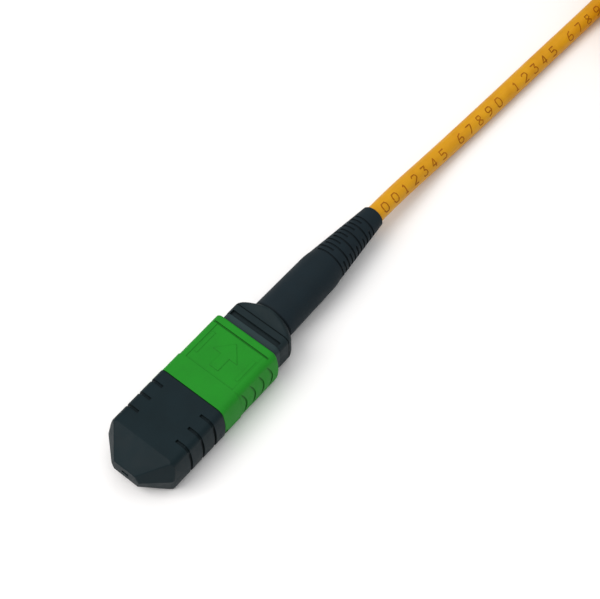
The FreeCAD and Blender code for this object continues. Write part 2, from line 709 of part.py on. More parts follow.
def fibre_ribbon(pre, where):
    """Twelve bare fibre ends, the flat ribbon, and the round bundle that it rolls into."""
    body = piece(pre + "fibre_ribbon", where)
    pad(
        body, pre + "ribbon_flat", "y", [rectangle(d("ribbon_half"), d("ribbon_height"))],
        -d("fibre_block") + 0.08, d("ribbon_flat_end"),
    )
    start = sketch(
        body, "XZ_Plane", pre + "ribbon_end",
        [rectangle(d("ribbon_half"), d("ribbon_height"))], -d("ribbon_flat_end"),
    )
    r = d("bundle_radius")
    side = r * 0.70710678
    end = sketch(
        body, "XZ_Plane", pre + "bundle_begin",
        [[(-side, -side), Arc(r, False), (side, -side), Arc(r, False), (side, side), Arc(r, False), (-side, side), Arc(r, False)]],
        -d("bundle_start"),
    )
    loft = body.newObject("PartDesign::AdditiveLoft", pre + "ribbon_rolls")
    loft.Profile = start
    loft.Sections = [end]
    loft.Ruled = True
    pad(
        body, pre + "bundle", "y", [("circle", 0.0, 0.0, r)], d("bundle_start"), d("bundle_end")
    )
    one = pad(
        body, pre + "bare_fibre", "y",
        [("circle", -d("fibre_pitch") * 5.5, 0.0, d("fibre_radius"))],
        -d("ferrule_front") + d("face_angle_drop") * 0.5, -d("fibre_block") + 0.2,
    )
    row_of(body, pre + "bare_fibres", one, d("fibre_pitch") * 11, 12, "X_Axis")
    return body


def ferrule_spring(pre, where):
    """An oval compression spring of round wire: each turn is two straights and two
    half circles, and climbs one pitch."""
    name = pre + "ferrule_spring"
    r = VALUES["spring_wire"]
    a, b = VALUES["spring_half"] - r, VALUES["spring_height"] - r
    y0 = VALUES["clamp_rear"] + r + 0.06
    y1 = VALUES["post_front"] - r - 0.06
    turns = 6
    straight, bend = 2 * (a - b), math.pi * b
    around = 2 * (straight + bend)

    def at(s):
        k = s % around
        y = y0 + (y1 - y0) * s / (turns * around)
        if k <= straight:
            return Vector(-(a - b) + k, y, b)
        if k <= straight + bend:
            g = (k - straight) / b
            return Vector(a - b + b * math.sin(g), y, b * math.cos(g))
        if k <= 2 * straight + bend:
            return Vector(a - b - (k - straight - bend), y, -b)
        g = (k - 2 * straight - bend) / b
        return Vector(-(a - b) - b * math.sin(g), y, -b * math.cos(g))

    sixths = [f / 6.0 for f in range(6)]
    stations = [0.0] + [straight + bend * f for f in sixths]
    stations += [2 * straight + bend + bend * f for f in sixths]
    stations.insert(7, 2 * straight + bend - straight)
    stations = sorted(set(round(k, 6) for k in stations))
    points = [at(n * around + k) for n in range(turns) for k in stations]
    points.append(at(turns * around - 1e-6))
    path = Part.makePolygon(points)
    ring = Part.Wire([Part.Circle(points[0], points[1] - points[0], r).toShape()])
    shape = path.makePipeShell([ring], True, False, 2)
    obj = part_object("Part::Feature", name)
    obj.Shape = shape
    place(obj, where)
    return obj


# ------------------------------------------------------------------ rear body
def back_post(pre, where):
    body = piece(pre + "back_post", where)
    pad(
        body, pre + "post_block", "y", [rounded(d("post_half"), d("post_height"), 0.3)],
        d("post_front"), d("housing_rear") + 0.1,
    )
    pad(
        body, pre + "post_lugs", "y",
        [
            box(d("post_half") - 0.3, d("snap_half"), -0.7, 0.7),
            [(-d("post_half") + 0.3, -0.7), (-d("post_half") + 0.3, 0.7), (-d("snap_half"), 0.7), (-d("snap_half"), -0.7)],
        ],
        d("snap_front") + 0.1, d("snap_rear") - 0.05,
    )
    # one flange, sunk across its flat faces in a band just behind the housing
    fx, fz, fe, q = d("flange_half_width"), d("flange_half_height"), d("flange_edge"), d("line_depth")
    pad(body, pre + "post_flange", "y", [rounded(fx, fz, fe)], d("housing_rear"), d("line_front"))
    pad(
        body, pre + "post_line", "y", [rounded(fx - q, fz - q, fe - q)],
        d("line_front") - 0.1, d("line_rear") + 0.1,
    )
    # shoulders: bullet-shaped, from the flat outline to a round seat for the strain relief
    r, y0, y1 = d("post_round"), d("line_rear"), d("post_rear")
    s, c = math.sin(math.radians(70)), math.cos(math.radians(70))
    t, w = math.sin(math.radians(14)), math.cos(math.radians(14))
    seat = [
        (-r * c, -r * s), Arc(r, False), (r * c, -r * s), Arc(r, False),
        (r * w, -r * t), Arc(r, False), (r * w, r * t), Arc(r, False),
        (r * c, r * s), Arc(r, False), (-r * c, r * s), Arc(r, False),
        (-r * w, r * t), Arc(r, False), (-r * w, -r * t), Arc(r, False),
    ]
    loft(
        body, pre + "shoulders", "AdditiveLoft",
        [
            ("XZ_Plane", [rounded(fx, fz, fe)], -y0),
            ("XZ_Plane", [rounded(fx - 0.08, fz + 0.03, fe + 0.2)], -(y0 + 0.4)),
            ("XZ_Plane", [rounded(fx - 0.31, fz + 0.17, fe + 0.7)], -(y0 + 0.85)),
            ("XZ_Plane", [rounded(fx - 0.71, fz + 0.37, fe + 1.4)], -(y0 + 1.28)),
            ("XZ_Plane", [rounded(fx - 1.21, fz + 0.52, fe + 2.1)], -(y0 + 1.7)),
            ("XZ_Plane", [seat], -y1),
        ],
        ruled=False,
    )
    pad(
        body, pre + "crimp_barrel", "y", [("circle", 0.0, 0.0, d("barrel_radius"))],
        d("post_rear") - 0.2, d("barrel_rear"),
    )
    w, n = d("neck_half"), d("neck_height")
    pocket(
        body, pre + "post_band", "y",
        [box(-w, w, n, fz + 1.0), box(-w, w, -fz - 1.0, -n)], d("housing_rear") - 0.2, d("neck_rear"),
    )
    pocket(
        body, pre + "ribbon_channel", "y",
        [rectangle(d("channel_half"), d("channel_height"))], d("post_front") - 1.0, d("channel_rear"),
    )
    pocket(
        body, pre + "bundle_bore", "y", [("circle", 0.0, 0.0, d("fibre_bore_radius"))],
        d("channel_rear") - 0.2, d("barrel_rear") + 1.0,
    )
    return body


# ------------------------------------------------------------------ crimp, yarn, strain relief
def crimp_sleeve(pre, where):
    body = piece(pre + "crimp_sleeve", where)
    ro, ri, y0, y1 = d("crimp_outer"), d("crimp_inner"), d("crimp_front"), d("crimp_rear")
    revolve(
        body, pre + "crimp_tube", "XY_Plane",
        [[
            (ri, y0), (ro, y0), (ro, y0 + 1.0), (ro - 0.14, y0 + 1.25), (ro - 0.14, y1 - 1.5),
            (ro, y1 - 1.25), (ro, y1), (ri, y1),
        ]],
    )
    return body


def aramid_yarn(pre, where):
    body = piece(pre + "aramid_yarn", where)
    revolve(
        body, pre + "yarn_sleeve", "XY_Plane",
        [[
            (d("yarn_inner"), d("yarn_front")), (d("yarn_outer"), d("yarn_front")),
            (d("yarn_outer"), d("yarn_turn")), (d("cord_radius") - 0.05, d("yarn_rear")),
            (d("cord_radius") - 0.35, d("yarn_rear")), (d("yarn_inner"), d("yarn_turn")),
        ]],
    )
    return body


def strain_relief(pre, where):
    body = piece(pre + "strain_relief", where)
    f, e = d("relief_front"), d("relief_end")
    revolve(
        body, pre + "relief_turned", "XY_Plane",
        [[
            (d("relief_bore"), f), (d("relief_base") - 0.3, f), (d("relief_base"), f + 0.3),
            (d("relief_waist"), d("relief_waist_y")), Arc(9.0, False),
            (d("relief_waist") - 0.2, d("relief_waist_y") + 1.75),
            (d("relief_tip"), e - 0.25), (d("relief_tip") - 0.2, e), (d("relief_throat"), e),
            (d("relief_throat"), d("relief_taper_rear")), (d("relief_bore"), d("relief_bore_rear")),
        ]],
    )
    slope = (VALUES["relief_waist"] - 0.2 - VALUES["relief_tip"]) / (
        VALUES["relief_end"] - 0.25 - VALUES["relief_waist_y"] - 1.75
    )
    # staggered slots, each most of the way round one half, that let the taper bend
    last = None
    for name, first, count, turn in (
        ("a", d("slot_first"), 6, -60.0), ("b", d("slot_first"), 6, 120.0),
        ("c", d("slot_second"), 5, 30.0), ("d", d("slot_second"), 5, -150.0),
    ):
        loops = []
        for k in range(count):
            y = first + d("slot_pitch") * float(k)
            surface = VALUES["relief_waist"] - 0.2 - slope * (y.v - VALUES["relief_waist_y"] - 1.75)
            depth, w = d("slot_depth"), d("slot_width")
            loops.append([
                (surface - depth, y - w * 0.5), (surface + 0.4, y - w * 0.5),
                (surface + 0.4, y + w * 0.5), (surface - depth, y + w * 0.5),
            ])
        cut = body.newObject("PartDesign::Groove", pre + "relief_slots_" + name)
        cut.Profile = sketch(body, "XY_Plane", pre + "relief_slots_%s_sketch" % name, loops, 0.0, turn)
        cut.ReferenceAxis = (plane(body, "Y_Axis"), [""])
        cut.Angle = 136.0
        cut.Midplane = True
        last = cut
    body.Tip = last
    return body


def jacket_end(label, where):
    """The cord's jacket where the strain relief holds it."""
    body = piece(label, where)
    pad(
        body, label + "_tube", "y", [("circle", 0.0, 0.0, d("cord_radius"))],
        d("jacket_front"), d("jacket_rear"),
    )
    return body


def connector(pre, where):
    dust_cap(pre, where)
    outer_shell(pre, where)
    inner_housing(pre, where)
    coupling_spring(pre, "left", where)
    coupling_spring(pre, "right", where)
    mt_ferrule(pre, where)
    guide_pin(pre, "left", where)
    guide_pin(pre, "right", where)
    pin_clamp(pre, where)
    ferrule_boot(pre, where)
    fibre_ribbon(pre, where)
    ferrule_spring(pre, where)
    back_post(pre, where)
    crimp_sleeve(pre, where)
    aramid_yarn(pre, where)
    strain_relief(pre, where)


NEAR = (as_dim(0.0), d("seam_y"), d("axis_z"), False)
FAR = (d("far_x"), d("far_y"), d("far_z"), True)
connector("", NEAR)
connector("far_", FAR)
jacket_end("cable_in_boot", NEAR)
jacket_end("far_cable_in_boot", FAR)

# ------------------------------------------------------------------ the cord
# Route of the free cord in the row frame: straight out of the strain relief, down to
# the surface, and on to the hank.
boot_end = VALUES["seam_y"] + VALUES["jacket_rear"]
LEAD = [
    (0.0, boot_end, 3.75),
    (0.0, 32.6, 3.75),
    (0.02, 44.6, 1.83),
    (0.62, 57.4, 1.56),
    (1.22, 70.6, 1.57),
    (1.9, 83.6, 1.56),
    (2.4, 94.6, 1.68),
    (2.5, 101.6, 1.9),
]
far_jacket = VALUES["far_y"] - VALUES["jacket_rear"]
TAIL = [
    (23.9, 108.9, 8.15),
    (24.05, 100.4, 9.2),
    (23.9, 91.6, 10.5),
    (17.7, 85.4, 11.6),
    (9.0, 85.4, 12.6),
    (2.8, 91.6, 13.2),
    (2.85, 97.2, 13.25),
    (2.8, far_jacket, 13.2),
]


def tube(label, route, radius):
    """Straight runs joined by tangent arcs as large as the runs allow. Its end runs a
    little way into the hank."""
    pts = [Vector(*p) for p in route]
    edges, here, radii = [], pts[0], []
    length = 0.0
    for i in range(1, len(pts) - 1):
        u, w = pts[i] - pts[i - 1], pts[i + 1] - pts[i]
        short = min(u.Length, w.Length)
        turn = u.getAngle(w)
        u.normalize()
        w.normalize()
        r = 0.45 * short / math.tan(turn / 2)
        radii.append(r)
        cut = 0.45 * short
        p, q = pts[i] - u * cut, pts[i] + w * cut
        inward = w - u
        inward.normalize()
        mid = pts[i] + inward * (r / math.cos(turn / 2) - r)
        edges.append(Part.LineSegment(here, p).toShape())
        edges.append(Part.Arc(p, mid, q).toShape())
        length += (p - here).Length + r * turn
        here = q
    edges.append(Part.LineSegment(here, pts[-1]).toShape())
    length += (pts[-1] - here).Length
    path = Part.Wire(edges)
    first = edges[0]
    ring = Part.Wire(
        [Part.Circle(pts[0], first.tangentAt(first.FirstParameter), radius).toShape()]
    )
    shape = path.makePipeShell([ring], True, False)
    obj = doc.addObject("Part::Feature", label)
    obj.Label = label
    obj.Shape = shape
    obj.Placement = Placement()
    NODES.append(obj)
    print(
        "%s: length %.1f mm, radii %s, volume %.1f against %.1f"
        % (label, length, [round(k, 1) for k in radii], shape.Volume, math.pi * radius**2 * length)
    )
    return obj


# The spare cord: six turns, two wide and three high, folded in line with the connector.
NOWHERE = (as_dim(0.0), as_dim(0.0), as_dim(0.0), False)
hank = piece("cable_hank", NOWHERE)
hx, near = d("hank_x"), d("hank_near")
far = near + d("hank_straight")


def stadium(r):
    return [
        (hx - r, near), Arc(r, False), (hx, near - r), Arc(r, False), (hx + r, near),
        (hx + r, far), Arc(r, False), (hx, far + r), Arc(r, False), (hx - r, far),
    ]


ring = pad(
    hank, "hank_ring", "z", [stadium(d("hank_outer")), stadium(d("hank_inner"))],
    d("hank_bottom"), d("hank_top"),
)
doc.recompute()
rims = []
for i, e in enumerate(ring.Shape.Edges, start=1):
    zs = [v.Z for v in e.Vertexes]
    if max(zs) - min(zs) < 1e-6:
        rims.append("Edge%d" % i)
fillet(hank, "hank_rounds", ring, rims, d("hank_edge"))


def hank_tie(label, way, centre_u, centre_v, half_u):
    """A band of hook-and-loop tape round one bundle, with its free end lapped on top."""
    body = piece(label, NOWHERE)
    u, t = as_dim(half_u), d("tie_thick")
    z0, z1 = d("hank_bottom"), d("hank_top")
    r = d("hank_edge")
    cu = as_dim(centre_u)

    def ring_loop(grow):
        g = as_dim(grow)
        x0, x1, lo, hi, q = cu - u - g, cu + u + g, z0 - g, z1 + g, r + g
        return [
            (x0 + q, lo), (x1 - q, lo), Arc(q, False), (x1, lo + q), (x1, hi - q), Arc(q, False),
            (x1 - q, hi), (x0 + q, hi), Arc(q, False), (x0, hi - q), (x0, lo + q), Arc(q, False),
        ]

    c, w = as_dim(centre_v), d("tie_width")
    pad(body, label + "_band", way, [ring_loop(t), ring_loop(0.0)], c - w * 0.5, c + w * 0.5)
    pad(
        body, label + "_lap", way,
        [box(cu - u + 2.0, cu + u - 1.2, z1 + t - 0.05, z1 + t + 0.35)], c - w * 0.5 + 0.25, c + w * 0.5 - 0.25,
    )
    return body


hank_tie("hank_tie_side", "y", hx + (d("hank_outer") + d("hank_inner")) * 0.5, d("tie_y"),
         (d("hank_outer") - d("hank_inner")) * 0.5 + 0.01)
hank_tie("hank_tie_end", "x", far + (d("hank_outer") + d("hank_inner")) * 0.5 - 0.4, hx,
         (d("hank_outer") - d("hank_inner")) * 0.5 + 0.44)

doc.recompute()
tube("cable_lead", LEAD, VALUES["cord_radius"])
tube("cable_tail", TAIL, VALUES["cord_radius"])
doc.recompute()

# ------------------------------------------------------------------ checks and export
bad = [o.Name for o in doc.Objects if "Invalid" in o.State or "Error" in o.State]
if bad:
    raise RuntimeError("failed features: %s" % ", ".join(bad))
for obj in NODES:
    shape = obj.Shape
    if shape.isNull() or not shape.isValid():
        raise RuntimeError("%s has no valid shape" % obj.Label)
    if len(shape.Solids) < 1:
        raise RuntimeError("%s has no solid" % obj.Label)
os.makedirs("parts", exist_ok=True)
for obj in NODES:
    obj.Shape.exportStep("parts/%s.step" % obj.Label)
    b = obj.Shape.BoundBox
    print(
        "%-28s solids %d volume %9.3f  x %.2f..%.2f  y %.2f..%.2f  z %.2f..%.2f"
        % (obj.Label, len(obj.Shape.Solids), obj.Shape.Volume, b.XMin, b.XMax, b.YMin, b.YMax, b.ZMin, b.ZMax)
    )
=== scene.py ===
import json
import math

import bpy
import bmesh
from mathutils import Matrix, Vector


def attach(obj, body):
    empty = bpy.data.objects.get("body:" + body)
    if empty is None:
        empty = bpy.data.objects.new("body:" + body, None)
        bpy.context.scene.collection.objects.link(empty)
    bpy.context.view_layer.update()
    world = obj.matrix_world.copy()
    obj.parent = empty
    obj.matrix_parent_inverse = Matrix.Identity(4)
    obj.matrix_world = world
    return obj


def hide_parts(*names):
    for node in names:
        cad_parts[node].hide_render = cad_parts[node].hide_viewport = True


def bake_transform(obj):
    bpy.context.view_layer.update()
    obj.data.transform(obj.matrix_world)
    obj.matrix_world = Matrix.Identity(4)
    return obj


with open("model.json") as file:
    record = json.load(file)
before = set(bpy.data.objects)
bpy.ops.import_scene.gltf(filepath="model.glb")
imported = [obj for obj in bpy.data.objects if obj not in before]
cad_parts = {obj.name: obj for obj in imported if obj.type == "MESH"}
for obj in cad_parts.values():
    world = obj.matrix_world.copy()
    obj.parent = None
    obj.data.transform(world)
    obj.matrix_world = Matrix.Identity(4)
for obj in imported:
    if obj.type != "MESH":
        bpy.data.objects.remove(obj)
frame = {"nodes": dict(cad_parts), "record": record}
bpy.context.view_layer.update()
NODES = frame["nodes"]
MM = 0.001
BODY = "connector"


def mm(*p):
    return Vector(p) * MM


# ------------------------------------------------------------------ camera
AZ, EL = math.radians(39.14), math.radians(58.43)
BACK = Vector((math.sin(AZ) * math.cos(EL), -math.cos(AZ) * math.cos(EL), math.sin(EL)))
RIGHT = Vector((math.cos(AZ), math.sin(AZ), 0.0))
UP = BACK.cross(RIGHT)
cam_data = bpy.data.cameras.new("camera")
cam_data.sensor_width = 36.0
cam_data.lens = 103.146
cam_data.clip_start = 0.01
cam_data.clip_end = 10.0
cam = bpy.data.objects.new("camera", cam_data)
bpy.context.scene.collection.objects.link(cam)
turn = Matrix((RIGHT, UP, BACK)).transposed()
roll = Matrix.Rotation(math.radians(0.224), 4, "Z")
eye = mm(86.625, -95.733, 224.528) + (RIGHT * -0.095 + UP * 0.096) * MM
cam.matrix_world = Matrix.Translation(eye) @ turn.to_4x4() @ roll
bpy.context.scene.camera = cam

# ------------------------------------------------------------------ the cord
# The route's control points, in millimetres.
LEAD = [
    (0.0, 25.8, 3.75),
    (0.0, 32.6, 3.75),
    (0.02, 44.6, 1.83),
    (0.62, 57.4, 1.56),
    (1.22, 70.6, 1.57),
    (1.9, 83.6, 1.56),
    (2.4, 94.6, 1.68),
]
TAIL = [
    (23.9, 108.9, 8.15),
    (24.05, 100.4, 9.2),
    (23.9, 91.6, 10.5),
    (17.7, 85.4, 11.6),
    (9.0, 85.4, 12.6),
    (2.8, 91.6, 13.2),
    (2.85, 97.2, 13.25),
    (2.8, 102.55, 13.2),
]
HANK_X, NEAR, FAR = 14.7, 97.5, 142.5


def hank_turns():
    """Five and a half turns, clockwise from above: up the left side, round the far fold,
    down the right side and round the near fold, where the track or the layer changes."""
    tracks = [(12.2, 1.9), (9.2, 1.9), (9.2, 4.9), (12.2, 4.9), (12.2, 7.9), (9.2, 7.9)]
    points = []
    for i, (r, z) in enumerate(tracks):
        last = i == len(tracks) - 1
        points += [(HANK_X - r, y, z) for y in (NEAR + 6.0, NEAR + 22.5, FAR - 6.0)]
        for k in range(6):
            a = math.radians(165 - 30 * k)
            q = r / math.cos(math.radians(15))
            points.append((HANK_X + q * math.cos(a), FAR + q * math.sin(a), z))
        points += [(HANK_X + r, y, z) for y in (FAR - 6.0, NEAR + 22.5)]
        if last:
            break
        points.append((HANK_X + r, NEAR + 6.0, z))
        r2, z2 = tracks[i + 1]
        for k in range(6):
            a = math.radians(-15 - 30 * k)
            f = (k + 0.5) / 6.0
            f = f * f * (3 - 2 * f)
            q = (r + (r2 - r) * f) / math.cos(math.radians(15))
            points.append((HANK_X + q * math.cos(a), NEAR + q * math.sin(a), z + (z2 - z) * f))
    return points


ROUTE = LEAD + hank_turns() + TAIL


def nurbs(name, points, radius=0.0):
    data = bpy.data.curves.new(name, "CURVE")
    data.dimensions = "3D"
    spline = data.splines.new("NURBS")
    spline.points.add(len(points) - 1)
    for p, q in zip(spline.points, points):
        p.co = (*mm(*q), 1.0)
        p.radius = max(radius * MM, 1e-6)
    spline.order_u = 3
    spline.use_endpoint_u = True
    spline.resolution_u = 8
    data.bevel_depth = 1.0 if radius else 0.0
    data.bevel_resolution = 6
    data.use_fill_caps = True
    obj = bpy.data.objects.new(name, data)
    bpy.context.scene.collection.objects.link(obj)
    return obj


cable = nurbs("patch_cable", ROUTE, 1.5)
line = nurbs("centreline", ROUTE)
centre = [v.co.copy() for v in bpy.data.meshes.new_from_object(line).vertices]
bpy.data.objects.remove(line)
cable_length = sum((b - a).length for a, b in zip(centre, centre[1:]))
print("cable length", cable_length)
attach(cable, BODY)
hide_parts("cable_lead", "cable_hank", "cable_tail")


# ------------------------------------------------------------------ light and floor
def area(name, loc, target, size, power, colour=(1, 1, 1)):
    data = bpy.data.lights.new(name, "AREA")
    data.shape = "RECTANGLE"
    data.size, data.size_y = size
    data.energy = power
    data.color = colour
    o = bpy.data.objects.new(name, data)
    o.location = Vector(loc)
    o.rotation_euler = (Vector(target) - o.location).to_track_quat("-Z", "Y").to_euler()
    bpy.context.scene.collection.objects.link(o)
    return o


area("key", (-0.20, -0.32, 0.48), (0, 0.0, 0), (0.42, 0.42), 2.35, (1.0, 0.965, 0.945))
area("top", (0.0, 0.06, 0.75), (0, 0.06, 0), (0.9, 0.9), 2.6)
area("fill", (0.5, -0.1, 0.35), (0, 0.02, 0), (0.4, 0.4), 0.08)
world = bpy.data.worlds.new("world")
world.use_nodes = True
world.node_tree.nodes["Background"].inputs[0].default_value = (1, 1, 1, 1)
world.node_tree.nodes["Background"].inputs[1].default_value = 0.45
bpy.context.scene.world = world
bpy.context.scene.view_settings.view_transform = "Standard"

floor_mesh = bpy.data.meshes.new("floor")
bm = bmesh.new()
bmesh.ops.create_grid(bm, x_segments=1, y_segments=1, size=1.5)
bm.to_mesh(floor_mesh)
floor = bpy.data.objects.new("floor", floor_mesh)
bpy.context.scene.collection.objects.link(floor)
fmat = bpy.data.materials.new("floor")
fmat.use_nodes = True
fmat.node_tree.nodes["Principled BSDF"].inputs["Base Color"].default_value = (0.93, 0.93, 0.93, 1)
fmat.node_tree.nodes["Principled BSDF"].inputs["Roughness"].default_value = 0.8
floor_mesh.materials.append(fmat)


# ------------------------------------------------------------------ length marks on the jacket
# Plain digits as ink strokes: each is a few lines in a box one wide and one high.
DIGITS = {
    "0": [[(0.2, 0.0), (0.8, 0.0), (1.0, 0.25), (1.0, 0.75), (0.8, 1.0), (0.2, 1.0), (0.0, 0.75), (0.0, 0.25), (0.2, 0.0)]],
    "1": [[(0.2, 0.78), (0.5, 1.0), (0.5, 0.0)], [(0.2, 0.0), (0.8, 0.0)]],
    "2": [[(0.0, 0.8), (0.2, 1.0), (0.8, 1.0), (1.0, 0.8), (1.0, 0.6), (0.0, 0.0), (1.0, 0.0)]],
    "3": [[(0.0, 1.0), (1.0, 1.0), (0.45, 0.6), (0.8, 0.58), (1.0, 0.4), (1.0, 0.2), (0.8, 0.0), (0.2, 0.0), (0.0, 0.15)]],
    "4": [[(0.75, 0.0), (0.75, 1.0), (0.0, 0.3), (1.0, 0.3)]],
    "5": [[(1.0, 1.0), (0.1, 1.0), (0.0, 0.55), (0.7, 0.6), (1.0, 0.4), (1.0, 0.2), (0.8, 0.0), (0.0, 0.0)]],
    "6": [[(0.9, 1.0), (0.3, 0.85), (0.0, 0.45), (0.0, 0.2), (0.2, 0.0), (0.8, 0.0), (1.0, 0.2), (1.0, 0.4), (0.8, 0.55), (0.1, 0.5)]],
    "7": [[(0.0, 1.0), (1.0, 1.0), (0.4, 0.0)]],
    "8": [[(0.5, 0.53), (0.1, 0.72), (0.2, 1.0), (0.8, 1.0), (0.9, 0.72), (0.5, 0.53), (0.0, 0.3), (0.15, 0.0), (0.85, 0.0), (1.0, 0.3), (0.5, 0.53)]],
    "9": [[(0.1, 0.0), (0.7, 0.15), (1.0, 0.55), (1.0, 0.8), (0.8, 1.0), (0.2, 1.0), (0.0, 0.8), (0.0, 0.6), (0.2, 0.45), (0.9, 0.5)]],
    ".": [[(0.42, 0.0), (0.58, 0.0), (0.58, 0.12), (0.42, 0.12), (0.42, 0.0)]],
}


class Along:
    """Places along the cord: a point, the way on, and two directions across it that turn
    as little as they can."""

    def __init__(self, points):
        self.p = points
        self.s = [0.0]
        for a, b in zip(points, points[1:]):
            self.s.append(self.s[-1] + (b - a).length)
        side = Vector((1, 0, 0))
        self.side = []
        for i in range(len(points)):
            t = (points[min(i + 1, len(points) - 1)] - points[max(i - 1, 0)]).normalized()
            side = (side - t * side.dot(t)).normalized()
            self.side.append(side.copy())
        self.k = 0

    def at(self, s, angle, r):
        """A point at a length along, an angle from the top towards the side, and a radius."""
        k = self.k
        while k > 0 and self.s[k] > s:
            k -= 1
        while k < len(self.s) - 2 and self.s[k + 1] < s:
            k += 1
        self.k = k
        f = (s - self.s[k]) / max(self.s[k + 1] - self.s[k], 1e-12)
        p = self.p[k].lerp(self.p[k + 1], f)
        t = (self.p[k + 1] - self.p[k]).normalized()
        side = self.side[k].lerp(self.side[k + 1], f)
        side = (side - t * side.dot(t)).normalized()
        up = side.cross(t)
        return p + (side * math.sin(angle) + up * math.cos(angle)) * r


along = Along(centre)


def jacket_marks(text, start, end, pitch, high, wide, stroke, centre_angle):
    bm = bmesh.new()
    r = 1.5 * MM + 0.000008
    s, i = start, 0
    while s < end:
        ch = text[i % len(text)]
        i += 1
        # the marking wheel drifts a little round the cord
        drift = centre_angle + 0.10 * math.sin(s * 31.0) + 0.05 * math.sin(s * 117.0)
        for line in DIGITS.get(ch, []):
            pts = []
            for (x0, y0), (x1, y1) in zip(line, line[1:]):
                n = max(1, int(math.hypot((x1 - x0) * wide, (y1 - y0) * high) / (0.28 * MM)))
                for k in range(n):
                    pts.append(((x0 + (x1 - x0) * k / n) * wide, (y0 + (y1 - y0) * k / n - 0.5) * high))
            pts.append((line[-1][0] * wide, (line[-1][1] - 0.5) * high))
            ring = []
            for j, (u, v) in enumerate(pts):
                a = pts[max(j - 1, 0)]
                b = pts[min(j + 1, len(pts) - 1)]
                d = Vector((b[0] - a[0], b[1] - a[1], 0)).normalized()
                if d.length == 0:
                    d = Vector((1, 0, 0))
                w = stroke * (0.5 + 0.08 * math.sin(j * 2.3 + i))
                pair = []
                for k in (w, -w):
                    uu, vv = u - d.y * k, v + d.x * k
                    # up on the digit points away from the side
                    pair.append(bm.verts.new(along.at(s + uu, drift - vv / (1.5 * MM), r)))
                ring.append(pair)
            for (a, b), (c, e) in zip(ring, ring[1:]):
                bm.faces.new((a, b, e, c))
        s += pitch if ch != " " else pitch * 0.8
    data = bpy.data.meshes.new("jacket_marks")
    bm.to_mesh(data)
    bm.free()
    o = bpy.data.objects.new("jacket_marks", data)
    bpy.context.scene.collection.objects.link(o)
    return o


# ------------------------------------------------------------------ the ties
def tie(name, centre_point, along_axis, across, half, low, high, width):
    """A band of soft tape round one bundle, pulled snug over the cord's turns, with its
    free end lapped over the start."""
    bm = bmesh.new()
    steps, corner, thick = 10, 1.42, 0.4
    loop = []
    w = half
    h0, h1 = low, high
    for cx, cz, a0 in ((w - corner, h1 - corner, 0), (-w + corner, h1 - corner, 90), (-w + corner, h0 + corner, 180), (w - corner, h0 + corner, 270)):
        for k in range(steps + 1):
            a = math.radians(a0 + 90.0 * k / steps)
            loop.append((cx + corner * math.cos(a), cz + corner * math.sin(a), math.cos(a), math.sin(a)))
    dense = []
    n = len(loop)
    for i in range(n):
        x0, z0, nx0, nz0 = loop[i]
        x1, z1, nx1, nz1 = loop[(i + 1) % n]
        m = max(1, int(math.hypot(x1 - x0, z1 - z0) / 0.45))
        for k in range(m):
            f = k / m
            dense.append((x0 + (x1 - x0) * f, z0 + (z1 - z0) * f, nx0 + (nx1 - nx0) * f, nz0 + (nz1 - nz0) * f))
    # the tape goes once round and then laps over the top
    turns = dense + dense[: int(len(dense) * 0.16)]
    start = int(len(dense) * 0.06)
    turns = dense[start:] + dense[: start + int(len(dense) * 0.2)]
    cols = []
    across_n = 9
    for i, (x, z, nx, nz) in enumerate(turns):
        lift = 0.0
        over = i - len(dense)
        if over > 0:
            lift = thick * min(1.0, over / 4.0) * 0.8
        row = []
        for side in (0, 1):
            pts = []
            for k in range(across_n):
                v = (k / (across_n - 1) - 0.5) * width
                edge = abs(v) / (0.5 * width)
                sag = 0.07 * (1 - edge**2) + 0.05 * math.sin(i * 0.55 + v)
                out = (thick if side else 0.0) * (0.55 if edge > 0.99 else 1.0) + lift
                # pulled in a little between the cord's layers
                pull = -0.10 * (0.5 - 0.5 * math.cos((z - low) / 3.0 * 2 * math.pi)) * abs(nx) if side else 0.0
                d = out + (pull - 0.02 * sag if side else 0.0)
                pts.append((x + nx * d, z + nz * d, v))
            row.append(pts)
        cols.append(row)
    verts = []
    for row in cols:
        verts.append([[bm.verts.new(mm(*tie_place(p, centre_point, along_axis))) for p in pts] for pts in row])
    for a, b in zip(verts, verts[1:]):
        for k in range(across_n - 1):
            bm.faces.new((a[1][k], a[1][k + 1], b[1][k + 1], b[1][k]))
            bm.faces.new((a[0][k + 1], a[0][k], b[0][k], b[0][k + 1]))
        bm.faces.new((a[0][0], a[1][0], b[1][0], b[0][0]))
        bm.faces.new((a[1][-1], a[0][-1], b[0][-1], b[1][-1]))
    for end, flip in ((verts[0], False), (verts[-1], True)):
        for k in range(across_n - 1):
            q = (end[0][k], end[0][k + 1], end[1][k + 1], end[1][k])
            bm.faces.new(q[::-1] if flip else q)
    bmesh.ops.recalc_face_normals(bm, faces=bm.faces)
    data = bpy.data.meshes.new(name)
    bm.to_mesh(data)
    bm.free()
    for p in data.polygons:
        p.use_smooth = True
    o = bpy.data.objects.new(name, data)
    bpy.context.scene.collection.objects.link(o)
    return o


def tie_place(p, c, way):
    u, z, v = p
    if way == "y":
        return (c[0] + u, c[1] + v, z)
    return (c[0] + v, c[1] + u, z)


